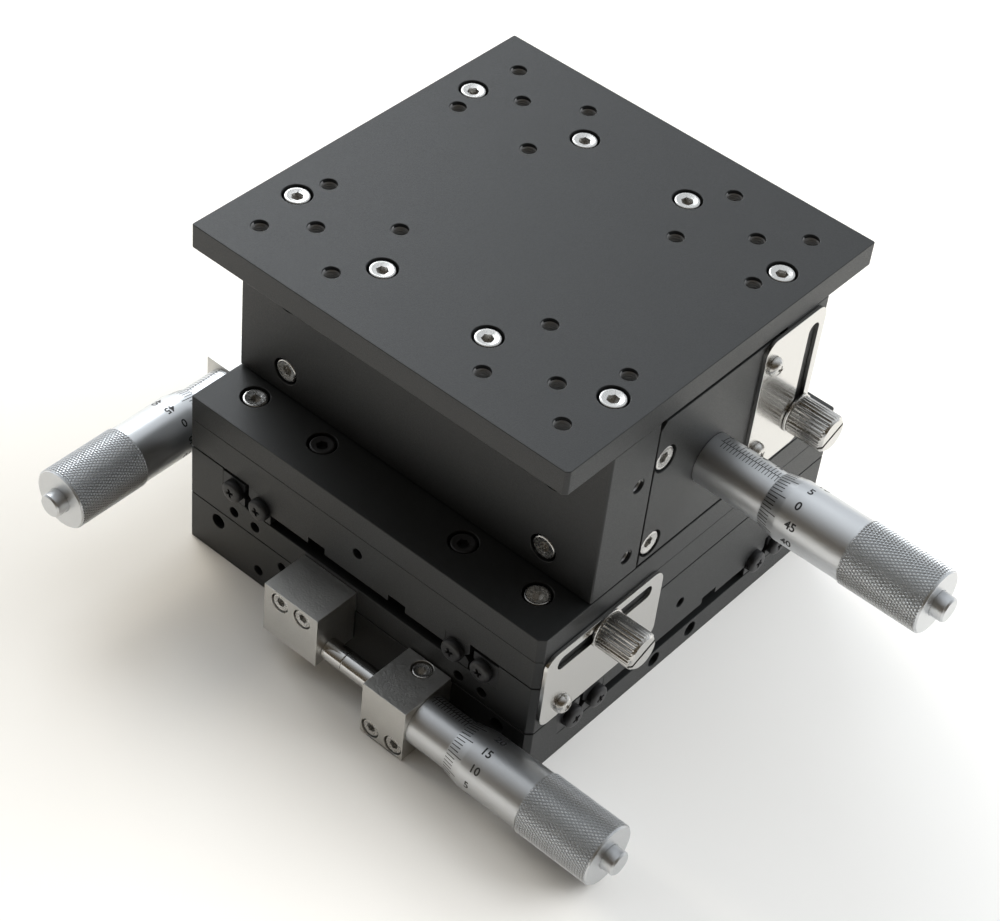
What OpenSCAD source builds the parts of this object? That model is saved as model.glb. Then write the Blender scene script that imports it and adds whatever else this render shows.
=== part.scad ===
// Three-axis manual translation stage: two crossed-roller slides, a wedge lift and three micrometer heads.
// Frame: origin at the centre of the base's flat underside, +X along the lower slide, +Z up. Millimetres.

/* [Plates] */
// Side of every square plate
side = 124; // [100:1:200]
// Thickness of the base plate
base_h = 17; // [15:0.1:30]
// Thickness of the middle plate
mid_h = 17.2; // [15.5:0.1:30]
// Thickness of the upper slide's plate
upper_h = 9.8; // [8.5:0.1:20]
// Thickness of the plate that carries the lift
lift_base_h = 8.2; // [6.5:0.1:16]
// Gap between plates that slide past each other
plate_gap = 0.4; // [0.2:0.05:0.8]
// Chamfer on the plates' corner beside the upper lock
corner_c = 1.6; // [0.5:0.1:5]
// Chamfer on the other upright corners of the plates
plain_c = 0.3; // [0.1:0.1:2]
// Relief behind a block that stands across a sliding seam
seam_relief = 0.3; // [0.1:0.05:0.6]

/* [Table] */
// Thickness of the top table
table_h = 7.5; // [6:0.1:15]
// Chamfer on the table's corner beside the upper lock
table_c = 1; // [0.3:0.1:3]
// Pitch of the threaded hole grid in the table
grid_pitch = 25; // [20:1:30]
// Side of the square of four further threaded holes
extra_square = 80; // [74:1:86]
// Diameter of the table's threaded holes
table_hole_d = 4.5; // [3:0.1:6]
// Distance of the inner table screws from the middle
table_screw_x = 17.5; // [10:0.5:19]
// Distance of the outer table screws from the table's edge
table_screw_edge = 9.5; // [6:0.5:11]
// Distance of the inner table screws from the wall's inner face
wall_screw_far = 14; // [12.5:0.1:15]
// Distance of the outer table screws from the wall's inner face
wall_screw_near = 8.5; // [6:0.1:10]

/* [Travel] */
// Full travel of the two flat slides
xy_travel = 25; // [10:1:26]
// Lift of the table above its lowest place
lift_travel = 8; // [4:0.5:9]

/* [Roller guides] */
// Half width of the channel in the lower member
chan_half = 49.6; // [42:0.1:53]
// Depth of the channel's rail seat
chan_d = 8.7; // [8.4:0.1:9]
// Further depth of the channel between the rail seats
chan_relief = 0.3; // [0.2:0.1:0.6]
// Gap between the outer and the inner rail
rail_gap = 1.4; // [1.2:0.05:1.6]
// Depth of the keel
keel_drop = 5.5; // [3:0.1:6]
// Width of the two grooves along the keel
keel_slot_w = 6; // [3:0.1:10]
// Depth of the two grooves along the keel
keel_slot_d = 2.2; // [1:0.1:3]
// Distance of each groove from the middle of the keel
keel_slot_off = 14.5; // [10:0.1:22]
// Width of one rail
rail_w = 8.3; // [8:0.05:8.4]
// Height of one rail
rail_h = 8; // [7.6:0.05:8.2]
// Distance of a rail's end from the plate's face
rail_set = 0.1; // [0.05:0.05:1]
// Diameter of a roller
roller_d = 2.94; // [2.4:0.01:3.4]
// Clearance between a roller and its grooves
roller_play = 0.03; // [0.02:0.01:0.06]
// Spacing of the rollers along a cage
roller_pitch = 18; // [8:1:25]
// Thickness of a roller cage
cage_t = 1; // [0.5:0.1:1.1]
// Height of a roller cage
cage_h = 5.4; // [4:0.1:6.5]
// Room left between a cage's end and its end stop
cage_slack = 0.75; // [0.3:0.05:3]
// Diameter of an end stop's head
stop_head_d = 6.6; // [5:0.1:7]
// Height of an end stop's head
stop_head_h = 2.4; // [1.5:0.1:3]
// Distance of the inner end stop from the keel's side
stop_in = 3.4; // [2.5:0.1:4]
// Distance of the outer end stop from the channel's side
stop_out = 4.7; // [3.5:0.1:5]

/* [Lift] */
// Distance of a wall's inner face from the middle
wall_in = 25.5; // [24.5:0.1:26]
// Thickness of a side wall
wall_t = 18.3; // [16:0.1:19]
// Height of a side wall
wall_h = 50.5; // [50:0.1:60]
// Gap under a side wall with the table at its lowest
wall_foot = 0.6; // [0.3:0.1:2]
// Chamfer on the walls' upright edges
wall_c = 0.3; // [0.2:0.1:2]
// Thickness of the front and rear plates
end_t = 12; // [11:0.1:13]
// Gap between the front plate and the table
end_top_gap = 1.1; // [0.5:0.1:2]
// Chamfer on the front plate's upper corners
end_c = 2; // [0.5:0.1:4]
// Height of the relief along the front plate's foot
foot_line_h = 0.9; // [0.4:0.1:2]
// Depth of the relief along the front plate's foot
foot_line_d = 0.6; // [0.3:0.1:2]
// Distance of the front plate's screws from its edge
end_screw_edge = 4.2; // [4.15:0.05:4.6]
// Height of the lower screws above the lift's base
end_screw_low = 6.1; // [5:0.1:8]
// Distance between the lower and the upper screws
end_screw_rise = 29.9; // [28:0.1:33]
// Thickness of a cheek of the fixed core
cheek_t = 10.9; // [10:0.1:13]
// Distance of the walls' rails from the front plate's inner face
wall_rail_in = 0.4; // [0.2:0.1:1]
// Clearance of a vertical rail's end
lift_rail_set = 0.5; // [0.2:0.1:2]
// Height of a wall rail's lower screw above the lift's base
rail_screw_low = 8.4; // [6:0.1:12]
// Pitch of the wall rail's screws
rail_screw_pitch = 25; // [20:0.5:30]
// Distance of a wall rail's screws from the channel's side
rail_screw_in = 4.4; // [3.8:0.1:4.6]
// Diameter of the threaded holes in the walls' ends
wall_hole_d = 4.2; // [3:0.1:6]
// Distance of those holes from the wall's inner face
wall_hole_in = 5.5; // [4.5:0.1:8]

/* [Wedge] */
// Rise of the wedge over its run
wedge_slope_share = 0.5; // [0.45:0.01:0.55]
// Length of the wedge
wedge_len = 68; // [60:0.5:69]
// Place of the wedge's high end along X
wedge_end = 36.5; // [36:0.1:40]
// Height of the wedge at its low end
wedge_low = 6; // [4:0.1:9]
// Clearance above and under the wedge
wedge_play = 0.05; // [0.02:0.01:0.1]
// Clearance beside the wedge and the ramp
cheek_play = 0.1; // [0.05:0.01:0.3]

/* [Micrometer] */
// Diameter of the graduated sleeve
sleeve_d = 14.6; // [13:0.1:16]
// Length of the sleeve outside its holder
sleeve_len = 38; // [36:0.5:42]
// Diameter of the stem held in the block
stem_d = 9.4; // [8.6:0.1:9.5]
// Diameter of the spindle
spindle_d = 6.5; // [5:0.1:7]
// Running clearance of the spindle
run_play = 0.05; // [0.02:0.01:0.09]
// Clearance between the thimble and the sleeve
sleeve_play = 0.1; // [0.05:0.01:0.2]
// Diameter of the thimble at its graduated edge
thimble_edge_d = 15.3; // [15.1:0.05:17]
// Diameter of the thimble's plain barrel
thimble_d = 17.4; // [16.5:0.1:18]
// Diameter of the thimble's knurled grip
grip_d = 18.1; // [17.5:0.1:19]
// Length of the graduated bevel
bevel_len = 5.4; // [4:0.1:10]
// Distance of the grip from the thimble's edge
grip_from = 25.3; // [20:0.1:30]
// Distance of the thimble's end from its edge
thimble_len = 49; // [48:0.1:53]
// Chamfer on the grip's rims
grip_c = 0.5; // [0.2:0.1:1]
// Thickness of the thimble's end wall
end_wall = 4; // [2:0.1:5]
// Diameter of the boss on the thimble's end
boss_d = 7; // [6:0.1:9]
// Height of the boss on the thimble's end
boss_h = 3.8; // [2:0.1:5]
// Chamfer on the boss
boss_c = 0.5; // [0.2:0.1:1]
// Thimble edge's distance from the holder, flat slides
edge_xy = 13.2; // [13.1:0.1:15]
// Thimble edge's distance from the front plate, lift
edge_z = 20.9; // [18.5:0.1:22]

/* [Holders] */
// Place of each holder's outer face along its axis
holder_out = 35.4; // [34:0.1:38]
// Thickness of a holder along its axis
holder_t = 15; // [12:0.1:16]
// Holder's reach beyond the spindle's axis
holder_beyond = 8; // [7.5:0.1:12]
// Holder's depth under the spindle's axis
holder_drop = 10.2; // [10:0.1:10.4]
// Holder's height over the spindle's axis
holder_up = 8.2; // [7.5:0.1:9]
// Height of the holder's screws above its foot
holder_screw_up = 3.2; // [3.1:0.1:3.3]
// Distance of the lower spindle's axis from the plates' face
x_axis_out = 10; // [9.5:0.1:14]
// Height of the lower spindle's axis above the base's underside
x_axis_up = 10.4; // [10.3:0.1:11.5]
// Distance of the upper spindle's axis from the plates' face
y_axis_out = 13.2; // [9.5:0.1:14]
// Height of the upper spindle's axis above the middle plate's underside
y_axis_up = 11.3; // [10.5:0.1:11.5]
// Height of the lift's spindle above the lift's base
z_axis_up = 22.6; // [20:0.1:26]
// Length of an anvil block along its axis
anvil_t = 19.5; // [12:0.1:22]
// Distance between an anvil block and its holder
anvil_gap = 19.5; // [19.4:0.1:24]
// Anvil block's reach beyond the spindle's axis
anvil_beyond = 5; // [4:0.1:8]
// Anvil block's depth under the spindle's axis
anvil_drop = 3.6; // [3.4:0.1:6]
// Anvil block's height above the moving plate's underside
anvil_rise = 6.9; // [6.5:0.1:8]
// Height of its screws above the moving plate's underside
anvil_screw_rise = 3.3; // [3.1:0.1:3.8]
// Pitch of the screws in holders and anvil blocks
block_screw_pitch = 8.1; // [7:0.1:8.5]
// Length of the hardened anvil tip
tip_len = 6.9; // [5:0.1:6.9]
// Diameter of the anvil tip's stem
tip_stem_d = 4; // [3:0.1:5]
// Length of the anvil tip's stem
tip_stem_len = 8; // [5:0.1:12]
// Distance of the clamping screw from the plates' face
pinch_in = 3.5; // [3.2:0.1:3.6]

/* [Lock plates] */
// Length of a lock plate
lock_len = 47; // [44:0.1:49]
// Thickness of a lock plate
lock_t = 1.2; // [0.8:0.1:2]
// Corner radius of a lock plate
lock_r = 4; // [1:0.1:4.4]
// Distance of the slot's centre line from the near edge
lock_slot_edge = 4.7; // [4:0.1:6]
// Distance between the slot and the line of screws
lock_line = 17; // [16:0.1:18]
// Distance of the line of screws from the far edge
lock_edge = 4; // [3.8:0.1:4.6]
// Length of the slot
lock_slot_len = 38; // [34:0.1:39]
// Width of the slot
lock_slot_w = 4.4; // [4.3:0.05:4.8]
// Relief on the back of the plate over the moving member
lock_relief = 0.1; // [0.05:0.05:0.4]
// Pitch of the plate's screws
lock_screw_pitch = 30; // [28:0.5:34]
// Diameter of the plate's screw heads
lock_head_d = 5.6; // [5:0.1:7.4]
// Height of the plate's screw heads
lock_head_h = 2.4; // [1.5:0.1:3]
// Distance of the lower lock's centre from the middle of its face
x_lock_along = 0; // [-7:0.5:7]
// Distance of the upper lock's centre from the middle of its face
y_lock_along = 36.8; // [36:0.1:37.5]
// Height of the lower lock's slot above the moving plate's underside
x_lock_slot_rise = 3.7; // [3.65:0.05:3.75]
// Height of the upper lock's slot above the moving plate's underside
y_lock_slot_rise = 5.7; // [5.3:0.1:5.9]
// Distance of the upright slot from the wall's inner face
lift_slot_in = 11.9; // [11.5:0.1:12.5]
// Height of the upright slot's centre above the lift's base
lift_slot_up = 27; // [26.6:0.1:27.4]
// Distance of the lift's thumbscrew below its slot's centre
lift_thumb_down = 12; // [10:0.1:14]

/* [Thumbscrews] */
// Diameter of the ridged head
thumb_d = 11; // [8:0.1:13]
// Length of the ridged head
thumb_len = 11; // [7:0.1:16]
// Number of ridges on the head
thumb_ridges = 30; // [16:1:40]
// Depth of the ridges
ridge_d = 0.35; // [0.1:0.05:0.6]
// Diameter of the collar under the head
collar_d = 11.6; // [8.4:0.1:13.6]
// Height of the collar under the head
collar_h = 0.8; // [0.4:0.1:2]
// Chamfer on the head's end
thumb_c = 0.5; // [0.3:0.1:1.2]
// Diameter of the thumbscrew's shank
thumb_shank_d = 4; // [3:0.05:4]
// Reach of the shank into the moving member
thumb_reach = 9; // [6:0.1:11]
// Gap between the collar and the lock plate
thumb_gap = 0.1; // [0.05:0.05:0.4]
// Width of the driver slot in the head
driver_w = 1; // [0.6:0.1:1.6]
// Depth of the driver slot in the head
driver_d = 1.2; // [0.6:0.1:2]

/* [Screws] */
// Shank diameter of the large socket screws
big_d = 4; // [3:0.1:4.4]
// Head diameter of the large socket screws
big_head_d = 7; // [5.5:0.1:7.4]
// Head height of the large socket screws
big_head_h = 4; // [2:0.1:4.2]
// Key width of the large socket screws
big_key = 3; // [2:0.1:4]
// Diameter of the large counterbores
big_sink_d = 8.2; // [7.6:0.1:8.2]
// Thread reach of the large socket screws
big_reach = 6; // [4:0.1:6.4]
// Shank diameter of the small screws
small_d = 3; // [2:0.1:3]
// Head diameter of the small socket screws
small_head_d = 5.5; // [4:0.1:5.8]
// Head height of the small socket screws
small_head_h = 3; // [2:0.1:3.2]
// Key width of the small socket screws
small_key = 2.5; // [1.5:0.1:3]
// Diameter of the small counterbores
small_sink_d = 6; // [5.9:0.05:6.1]
// Thread reach of the small screws
small_reach = 6.5; // [4:0.1:7]
// Depth of a socket in a screw head
key_depth = 2; // [1:0.1:2]
// Depth of a screw head below its face
sink_play = 0.3; // [0:0.05:0.6]
// Clearance round a screw's shank
hole_play = 0.06; // [0.05:0.01:0.2]
// Room under the end of a screw
hole_room = 0.5; // [0.3:0.1:1]

/* [Base and side holes] */
// Diameter of the threaded holes in the underside
base_hole_d = 5; // [4:0.1:6]
// Depth of the threaded holes in the underside
base_hole_depth = 6; // [4:0.1:6.5]
// Distance between those holes along X
base_hole_x = 100; // [75:25:100]
// Distance between those holes along Y
base_hole_y = 50; // [25:25:50]
// Diameter of the large holes in the side faces
face_hole_d = 4.6; // [3:0.1:5]
// Diameter of the small holes in the side faces
pin_hole_d = 3.2; // [2:0.1:4]
// Depth of the holes in the side faces
face_hole_depth = 5; // [2:0.1:7]

/* [Hidden] */
half = side/2;
mid_z = base_h + plate_gap;
mid_top = mid_z + mid_h;
upper_z = mid_top + plate_gap;
upper_top = upper_z + upper_h;
lift_z = upper_top + lift_base_h;
wall_z = lift_z + wall_foot;
table_z = wall_z + wall_h;
core_half = wall_in - plate_gap;
core_h = table_z - lift_z - end_top_gap;
core_x = half - end_t;
cheek_in = core_half - cheek_t;
shoulder = plate_gap + chan_d - rail_h;
keel_half = chan_half - 2*rail_w - rail_gap;
lift_chan_half = core_x - wall_rail_in;
lift_keel_half = lift_chan_half - 2*rail_w - rail_gap;
rail_len = side - 2*rail_set;
core_rail_len = core_h - 2*lift_rail_set;
wall_rail_len = wall_h - 2*lift_rail_set;
groove_d = ((roller_d + 2*roller_play)*sqrt(2) - rail_gap)/2;
cage_len = side - xy_travel/2 - 2*cage_slack;
lift_cage_len = core_rail_len - lift_travel/2 - 2*cage_slack;
lift_cage_z = lift_z + lift_rail_set + cage_slack + lift_cage_len/2;
holder_in = holder_out - holder_t;
mid_upper_seam = upper_z - plate_gap/2;
wedge_bottom = lift_z + wedge_play;
wedge_start = wedge_end - wedge_len;
wedge_high = wedge_low + wedge_len*wedge_slope_share;
tip_from = -holder_t - anvil_gap;
bore_len = tip_stem_len + hole_room;
over = side/100;
merge = side/400;
black = [0.12, 0.12, 0.13];
bare = [0.74, 0.75, 0.77];
steel = [0.60, 0.61, 0.63];
chrome = [0.80, 0.81, 0.82];
dark = [0.05, 0.05, 0.06];
bronze = [0.62, 0.50, 0.30];
hole_faces = 16;
round_faces = 36;
head_faces = 18;
shank_faces = 14;
roller_faces = 10;
base_big_hole_shares = [[-0.826, 0.76], [0.826, 0.76]];
base_pin_hole_shares = [[-0.429, 0.76], [-0.571, 0.306]];
base_end_hole_shares = [[-0.129, 0.26], [0.129, 0.26]];
mid_pin_hole_shares = [[-0.729, 0.2], [-0.6, 0.2], [0.6, 0.2], [0.729, 0.2]];
mid_end_hole_shares = [[0, 0.22]];
upper_pin_hole_shares = [[0, 0.35]];
pan_shares = [[0, 0], [1, 0], [1, 0.6], [0.94, 0.83], [0.78, 0.95], [0, 1]];
round_shares = [[0, 0], [1, 0], [0.98, 0.25], [0.88, 0.55], [0.66, 0.82], [0.36, 0.96], [0, 1]];

// Rectangle w by d with cut corners: k the chamfer of the +X -Y corner, c that of the others
module cut_square(w, d, c, k) {
    polygon([[c - w/2, -d/2], [w/2 - k, -d/2], [w/2, k - d/2], [w/2, d/2 - c],
        [w/2 - c, d/2], [c - w/2, d/2], [-w/2, d/2 - c], [-w/2, c - d/2]]);
}

module slab(h, k) {
    linear_extrude(h) cut_square(side, side, plain_c, k);
}

// Bar along X that starts at x, centred on y, from z up
module bar(x, len, w, z, h) {
    translate([x, -w/2, z]) cube([len, w, h]);
}

module both_sides() {
    children();
    mirror([0, 1, 0]) children();
}

module both_ends() {
    children();
    mirror([1, 0, 0]) children();
}

module four_ways(x, y) {
    for (sx = [-1, 1]) {
        for (sy = [-1, 1]) {
            translate([sx*x, sy*y, 0]) children();
        }
    }
}

// Guide frames: travel along local X, the lower member's face at local z = 0
module x_guide() {
    translate([0, 0, base_h]) children();
}

module y_guide() {
    translate([0, 0, mid_top]) rotate([0, 0, 90]) children();
}

// Upright guides: the wall is the lower member, its face looks at the core
module z_guide(z) {
    both_sides() {
        translate([0, wall_in, z]) rotate([90, 0, 0]) rotate([0, 0, 90]) children();
    }
}

module channel_cut(len, at = chan_half) {
    bar(-len/2 - over, len + 2*over, 2*at, -chan_d, chan_d + over);
    bar(-len/2 - over, len + 2*over, 2*(at - rail_w - rail_gap/2), -chan_d - chan_relief, chan_d + over);
}

// Keel and rail shoulder that hang under the upper member
module keel(len, at = keel_half) {
    difference() {
        union() {
            bar(-len/2, len, 2*at, plate_gap - keel_drop, keel_drop + merge);
            bar(-len/2, len, 2*(at + rail_w), plate_gap - shoulder, shoulder + merge);
        }
        both_sides() {
            translate([0, keel_slot_off, 0]) {
                bar(-len/2 - over, len + 2*over, keel_slot_w,
                    plate_gap - keel_drop - over, keel_slot_d + over);
            }
        }
    }
}

module rail(len) {
    rotate([90, 0, 90]) {
        linear_extrude(len, center = true) {
            polygon([[0, 0], [rail_w, 0], [rail_w, rail_h/2 - groove_d], [rail_w - groove_d, rail_h/2],
                [rail_w, rail_h/2 + groove_d], [rail_w, rail_h], [0, rail_h]]);
        }
    }
}

module outer_rails(len, at = chan_half) {
    both_sides() {
        translate([0, at, -chan_d]) mirror([0, 1, 0]) rail(len);
    }
}

module inner_rails(len, at = keel_half) {
    both_sides() {
        translate([0, at, -chan_d]) rail(len);
    }
}

// End stops: a round-headed screw on each rail end, y its distance from the middle
module at_stops(y) {
    both_ends() {
        both_sides() {
            translate([half - rail_set, y, rail_h/2 - chan_d]) rotate([0, 90, 0]) children();
        }
    }
}

module outer_stops() {
    at_stops(chan_half - stop_out) children();
}

module inner_stops() {
    at_stops(keel_half + stop_in) children();
}

module dome(shares, d, h, n) {
    rotate_extrude($fn = n) polygon([for (p = shares) [p[0]*d/2, p[1]*h]]);
}

module stop_screw() {
    dome(pan_shares, stop_head_d, stop_head_h, head_faces);
    translate([0, 0, -small_reach]) cylinder(d = small_d, h = small_reach + merge, $fn = shank_faces);
}

module small_hole() {
    translate([0, 0, -small_reach - hole_room]) {
        cylinder(d = small_d + 2*hole_play, h = small_reach + hole_room + over, $fn = hole_faces);
    }
}

// Cages with their crossed rollers, one strip a side between the two rails
module cages(len, at = keel_half) {
    n = floor((len - roller_d)/roller_pitch);
    both_sides() {
        translate([0, at + rail_w + rail_gap/2, rail_h/2 - chan_d]) {
            translate([0, 0, -cage_h/2]) bar(-len/2, len, cage_t, 0, cage_h);
            for (i = [0:n]) {
                translate([(i - n/2)*roller_pitch, 0, 0]) rotate([i % 2 == 0 ? 45 : -45, 0, 0]) {
                    cylinder(d = roller_d, h = roller_d, center = true, $fn = roller_faces);
                }
            }
        }
    }
}

// Socket screw: the head's seat at z = 0, the head above it
module socket_screw(d, head_d, head_h, key, len) {
    difference() {
        union() {
            cylinder(d = head_d, h = head_h, $fn = head_faces);
            translate([0, 0, -len]) cylinder(d = d, h = len + merge, $fn = shank_faces);
        }
        translate([0, 0, head_h - key_depth]) {
            cylinder(d = key*2/sqrt(3), h = key_depth + over, $fn = 6);
        }
    }
}

// Room for a socket screw whose head sits in a counterbore of the given depth
module socket_cut(d, sink_d, sink, len) {
    translate([0, 0, -len - hole_room]) {
        cylinder(d = d + 2*hole_play, h = len + hole_room + merge, $fn = hole_faces);
    }
    cylinder(d = sink_d, h = sink + over, $fn = hole_faces);
}

big_sink = big_head_h + sink_play;
small_sink = small_head_h + sink_play;

module big_screw(through) {
    socket_screw(big_d, big_head_d, big_head_h, big_key, through - big_sink + big_reach);
}

module big_cut(through) {
    socket_cut(big_d, big_sink_d, big_sink, through - big_sink + big_reach);
}

module small_screw(through) {
    socket_screw(small_d, small_head_d, small_head_h, small_key, through - small_sink + small_reach);
}

module small_cut(through) {
    socket_cut(small_d, small_sink_d, small_sink, through - small_sink + small_reach);
}

// Places of holes on an upright face: shares of the half side and of the plate's height
module on_front(shares, z, h) {
    for (p = shares) {
        translate([p[0]*half, -half, z + p[1]*h]) rotate([90, 0, 0]) children();
    }
}

module on_end(shares, z, h) {
    for (p = shares) {
        translate([half, p[0]*half, z + p[1]*h]) rotate([0, 90, 0]) children();
    }
}

module face_hole(d) {
    translate([0, 0, -face_hole_depth]) cylinder(d = d, h = face_hole_depth + over, $fn = hole_faces);
}

// Micrometer frames: local X runs out of the holder's face along the spindle
module x_head() {
    translate([holder_out, -half - x_axis_out, x_axis_up]) children();
}

module y_head() {
    translate([-half - y_axis_out, -holder_out, mid_z + y_axis_up]) rotate([0, 0, -90]) children();
}

module z_head() {
    translate([half, 0, lift_z + z_axis_up]) children();
}

module turned(points, n) {
    rotate([0, 90, 0]) rotate_extrude($fn = n) polygon(points);
}

module barrel(stem_len) {
    bore = spindle_d/2 + run_play;
    turned([[bore, -stem_len], [stem_d/2, -stem_len], [stem_d/2, 0], [sleeve_d/2, 0],
        [sleeve_d/2, sleeve_len], [bore, sleeve_len]], round_faces);
}

module spindle(from, edge) {
    translate([from, 0, 0]) rotate([0, 90, 0]) {
        cylinder(d = spindle_d, h = edge + thimble_len - from - 2*run_play, $fn = round_faces);
    }
}

module thimble(edge) {
    inner = sleeve_d/2 + sleeve_play;
    shaft = spindle_d/2 + run_play;
    inside = thimble_len - end_wall;
    translate([edge, 0, 0]) {
        turned([[inner, 0], [thimble_edge_d/2, 0], [thimble_d/2, bevel_len], [thimble_d/2, grip_from],
            [grip_d/2 - grip_c/2, grip_from], [grip_d/2, grip_from + grip_c],
            [grip_d/2, thimble_len - grip_c],
            [grip_d/2 - grip_c, thimble_len], [boss_d/2, thimble_len],
            [boss_d/2, thimble_len + boss_h - boss_c],
            [boss_d/2 - boss_c, thimble_len + boss_h], [0, thimble_len + boss_h], [0, thimble_len],
            [shaft, thimble_len], [shaft, inside], [inner, inside]], round_faces);
    }
}

// Holder block in a micrometer frame; seam is the lower member's top in that frame
module holder_block(axis_out, seam) {
    y0 = -holder_beyond;
    difference() {
        translate([-holder_t, y0, -holder_drop]) {
            cube([holder_t, axis_out + holder_beyond, holder_drop + holder_up]);
        }
        translate([-holder_t - over, axis_out - seam_relief, seam]) {
            cube([holder_t + 2*over, seam_relief + over, holder_up + holder_drop]);
        }
        rotate([0, -90, 0]) translate([0, 0, -over]) {
            cylinder(d = stem_d + 2*run_play, h = holder_t + 2*over, $fn = round_faces);
        }
        at_holder_screws() small_cut(axis_out + holder_beyond);
        at_pinch_screw(axis_out) socket_cut(small_d, small_sink_d, small_sink, pinch_len);
    }
}

pinch_len = holder_up + holder_drop/2;

module at_holder_screws() {
    for (s = [-1, 1]) {
        translate([-holder_t/2 + s*block_screw_pitch/2, small_sink - holder_beyond,
            holder_screw_up - holder_drop]) {
            rotate([90, 0, 0]) children();
        }
    }
}

module at_pinch_screw(axis_out) {
    translate([-holder_t/2, axis_out - pinch_in, holder_up - small_sink]) children();
}

module holder_screws(axis_out) {
    at_holder_screws() small_screw(axis_out + holder_beyond);
    at_pinch_screw(axis_out) {
        socket_screw(small_d, small_head_d, small_head_h, small_key, pinch_len);
    }
}

// Anvil block in a micrometer frame; seam is the moving plate's underside in that frame
module anvil_block(axis_out, seam) {
    difference() {
        translate([tip_from - anvil_t, -anvil_beyond, -anvil_drop]) {
            cube([anvil_t, axis_out + anvil_beyond, anvil_drop + seam + anvil_rise]);
        }
        translate([tip_from - anvil_t - over, axis_out - seam_relief, -anvil_drop - over]) {
            cube([anvil_t + 2*over, seam_relief + over, anvil_drop + seam + over]);
        }
        translate([tip_from - bore_len, 0, 0]) rotate([0, 90, 0]) {
            cylinder(d = tip_stem_d + 2*run_play, h = bore_len + over, $fn = hole_faces);
        }
        at_anvil_screws(seam) small_cut(axis_out + anvil_beyond);
    }
}

module at_anvil_screws(seam) {
    for (s = [-1, 1]) {
        translate([tip_from - anvil_t/2 + s*block_screw_pitch/2, small_sink - anvil_beyond,
            seam + anvil_screw_rise]) {
            rotate([90, 0, 0]) children();
        }
    }
}

module anvil_tip() {
    turned([[0, tip_from - tip_stem_len], [tip_stem_d/2, tip_from - tip_stem_len],
        [tip_stem_d/2, tip_from], [spindle_d/2, tip_from], [spindle_d/2, tip_from + tip_len],
        [0, tip_from + tip_len]], round_faces);
}

x_seam = base_h - x_axis_up;
x_anvil_seam = mid_z - x_axis_up;
y_seam = mid_h - y_axis_up;
y_anvil_seam = upper_z - mid_z - y_axis_up;
flat_tip = tip_from + tip_len + run_play;

// Lock frames: the slot's centre at the origin, its length along local X, local Z out of the face
module x_lock() {
    translate([x_lock_along, half, mid_z + x_lock_slot_rise]) rotate([90, 0, 180]) children();
}

module y_lock() {
    translate([half, -y_lock_along, upper_z + y_lock_slot_rise]) rotate([90, 0, 90]) children();
}

module z_lock() {
    translate([half, wall_in + lift_slot_in, lift_z + lift_slot_up]) rotate([0, 90, 0]) children();
}

module lock_outline() {
    w = lock_slot_edge + lock_line + lock_edge;
    translate([0, lock_slot_edge - w/2]) {
        offset(lock_r, $fn = hole_faces*2) square([lock_len - 2*lock_r, w - 2*lock_r], center = true);
    }
}

// seam is the slot's distance from the edge of the moving member
module lock_plate(seam) {
    difference() {
        linear_extrude(lock_t) difference() {
            lock_outline();
            hull() {
                for (s = [-1, 1]) {
                    translate([s*(lock_slot_len - lock_slot_w)/2, 0]) {
                        circle(d = lock_slot_w, $fn = hole_faces);
                    }
                }
            }
        }
        translate([-lock_len/2 - over, -seam, -over]) {
            cube([lock_len + 2*over, seam + lock_slot_edge + over, lock_relief + over]);
        }
        at_lock_screws() translate([0, 0, -small_reach]) {
            cylinder(d = small_d + 2*hole_play, h = small_reach + lock_t + over, $fn = hole_faces);
        }
    }
}

module at_lock_screws() {
    for (s = [-1, 1]) {
        translate([s*lock_screw_pitch/2, -lock_line, 0]) children();
    }
}

module lock_screws() {
    at_lock_screws() {
        translate([0, 0, lock_t]) dome(round_shares, lock_head_d, lock_head_h, head_faces);
        translate([0, 0, -small_reach]) {
            cylinder(d = small_d, h = small_reach + lock_t + merge, $fn = shank_faces);
        }
    }
}

module thumb_bore() {
    translate([0, 0, -thumb_reach - hole_room]) {
        cylinder(d = thumb_shank_d + 2*run_play, h = thumb_reach + hole_room + over, $fn = hole_faces);
    }
}

module thumbscrew() {
    z0 = lock_t + thumb_gap;
    z1 = z0 + collar_h;
    r = thumb_d/2;
    rim = r - 1.4*ridge_d;
    step = 360/thumb_ridges;
    difference() {
        union() {
            translate([0, 0, -thumb_reach]) {
                cylinder(d = thumb_shank_d, h = thumb_reach + z0 + collar_h/2, $fn = hole_faces);
            }
            translate([0, 0, z0]) cylinder(d = collar_d, h = collar_h, $fn = round_faces);
            translate([0, 0, z1]) linear_extrude(thumb_len) {
                polygon([for (i = [0:thumb_ridges - 1], k = [0, 1])
                    [(r - k*ridge_d)*cos((i + k/2)*step), (r - k*ridge_d)*sin((i + k/2)*step)]]);
            }
            translate([0, 0, z1 + thumb_len - merge]) {
                cylinder(r1 = rim, r2 = rim - thumb_c, h = thumb_c + merge, $fn = round_faces);
            }
        }
        translate([-thumb_d/2 - over, -driver_w/2, z1 + thumb_len + thumb_c - driver_d]) {
            cube([thumb_d + 2*over, driver_w, driver_d + over]);
        }
    }
}

module at_lift_base_screws() {
    translate([0, 0, lift_z - big_sink]) {
        four_ways(2*grid_pitch, 2*grid_pitch) children();
        four_ways(grid_pitch, 2*grid_pitch) children();
    }
}

// Screws through a front or rear plate into the cheeks, heads outward
module at_end_screws() {
    both_sides() {
        for (k = [0, 1]) {
            translate([half - big_sink, core_half - end_screw_edge,
                lift_z + end_screw_low + k*end_screw_rise]) {
                rotate([0, 90, 0]) children();
            }
        }
    }
}

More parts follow.
